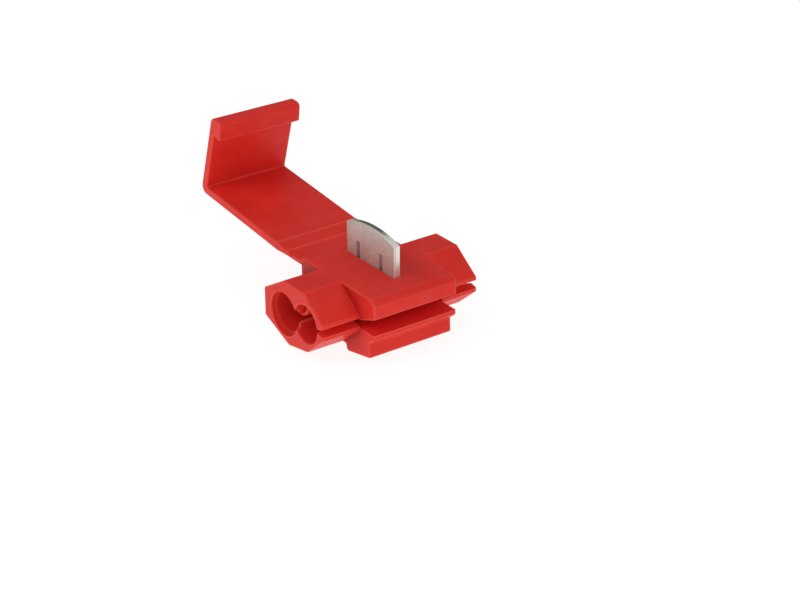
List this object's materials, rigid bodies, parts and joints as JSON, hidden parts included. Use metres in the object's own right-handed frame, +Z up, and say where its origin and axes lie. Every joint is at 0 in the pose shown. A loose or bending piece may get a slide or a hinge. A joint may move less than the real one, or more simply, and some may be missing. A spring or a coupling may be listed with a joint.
{
  "type": "t-tap connector",
  "caption": "Insulation-displacement wire tap: a red clip-on housing for two parallel wires, with a slotted contact blade that is pressed down and a hinged cover that latches over it.",
  "frame": {"origin": "on the axis of the channel for the run wire, halfway along the housing", "axes": "+Y along the wires, away from the end where the tap wire goes in; +X across the wires, from the cover's hinge to the mouth; +Z up, the way the raised contact blade stands"},
  "size_m": [0.0338, 0.02, 0.018],
  "materials": {
    "red_polypropylene": "moulded, low sheen",
    "tinned_brass": "dull tin plate on stamped brass"
  },
  "bodies": {
    "housing": {"housing": "red_polypropylene"},
    "hinge_band": {"hinge_band": "red_polypropylene"},
    "cover": {"cover": "red_polypropylene"},
    "contact_blade": {"contact_blade": "tinned_brass"}
  },
  "joints": [
    {"name": "cover_fold", "type": "hinge", "parent": "housing", "child": "hinge_band", "pos_m": [-0.00865, 0, 0.00278], "axis": [0, 1, 0], "range_deg": [0, 90]},
    {"name": "cover_tip", "type": "hinge", "parent": "hinge_band", "child": "cover", "pos_m": [-0.0108, 0, 0.00278], "axis": [0, 1, 0], "range_deg": [0, 84]},
    {"name": "blade_press", "type": "slide", "parent": "housing", "child": "contact_blade", "axis": [0, 0, -1], "range_m": [0, 0.0036]}
  ],
  "couplings": [
    {"joint": "cover_fold", "follows": "blade_press", "rad_per_m": 436.33},
    {"joint": "cover_tip", "follows": "blade_press", "rad_per_m": 407.2}
  ]
}
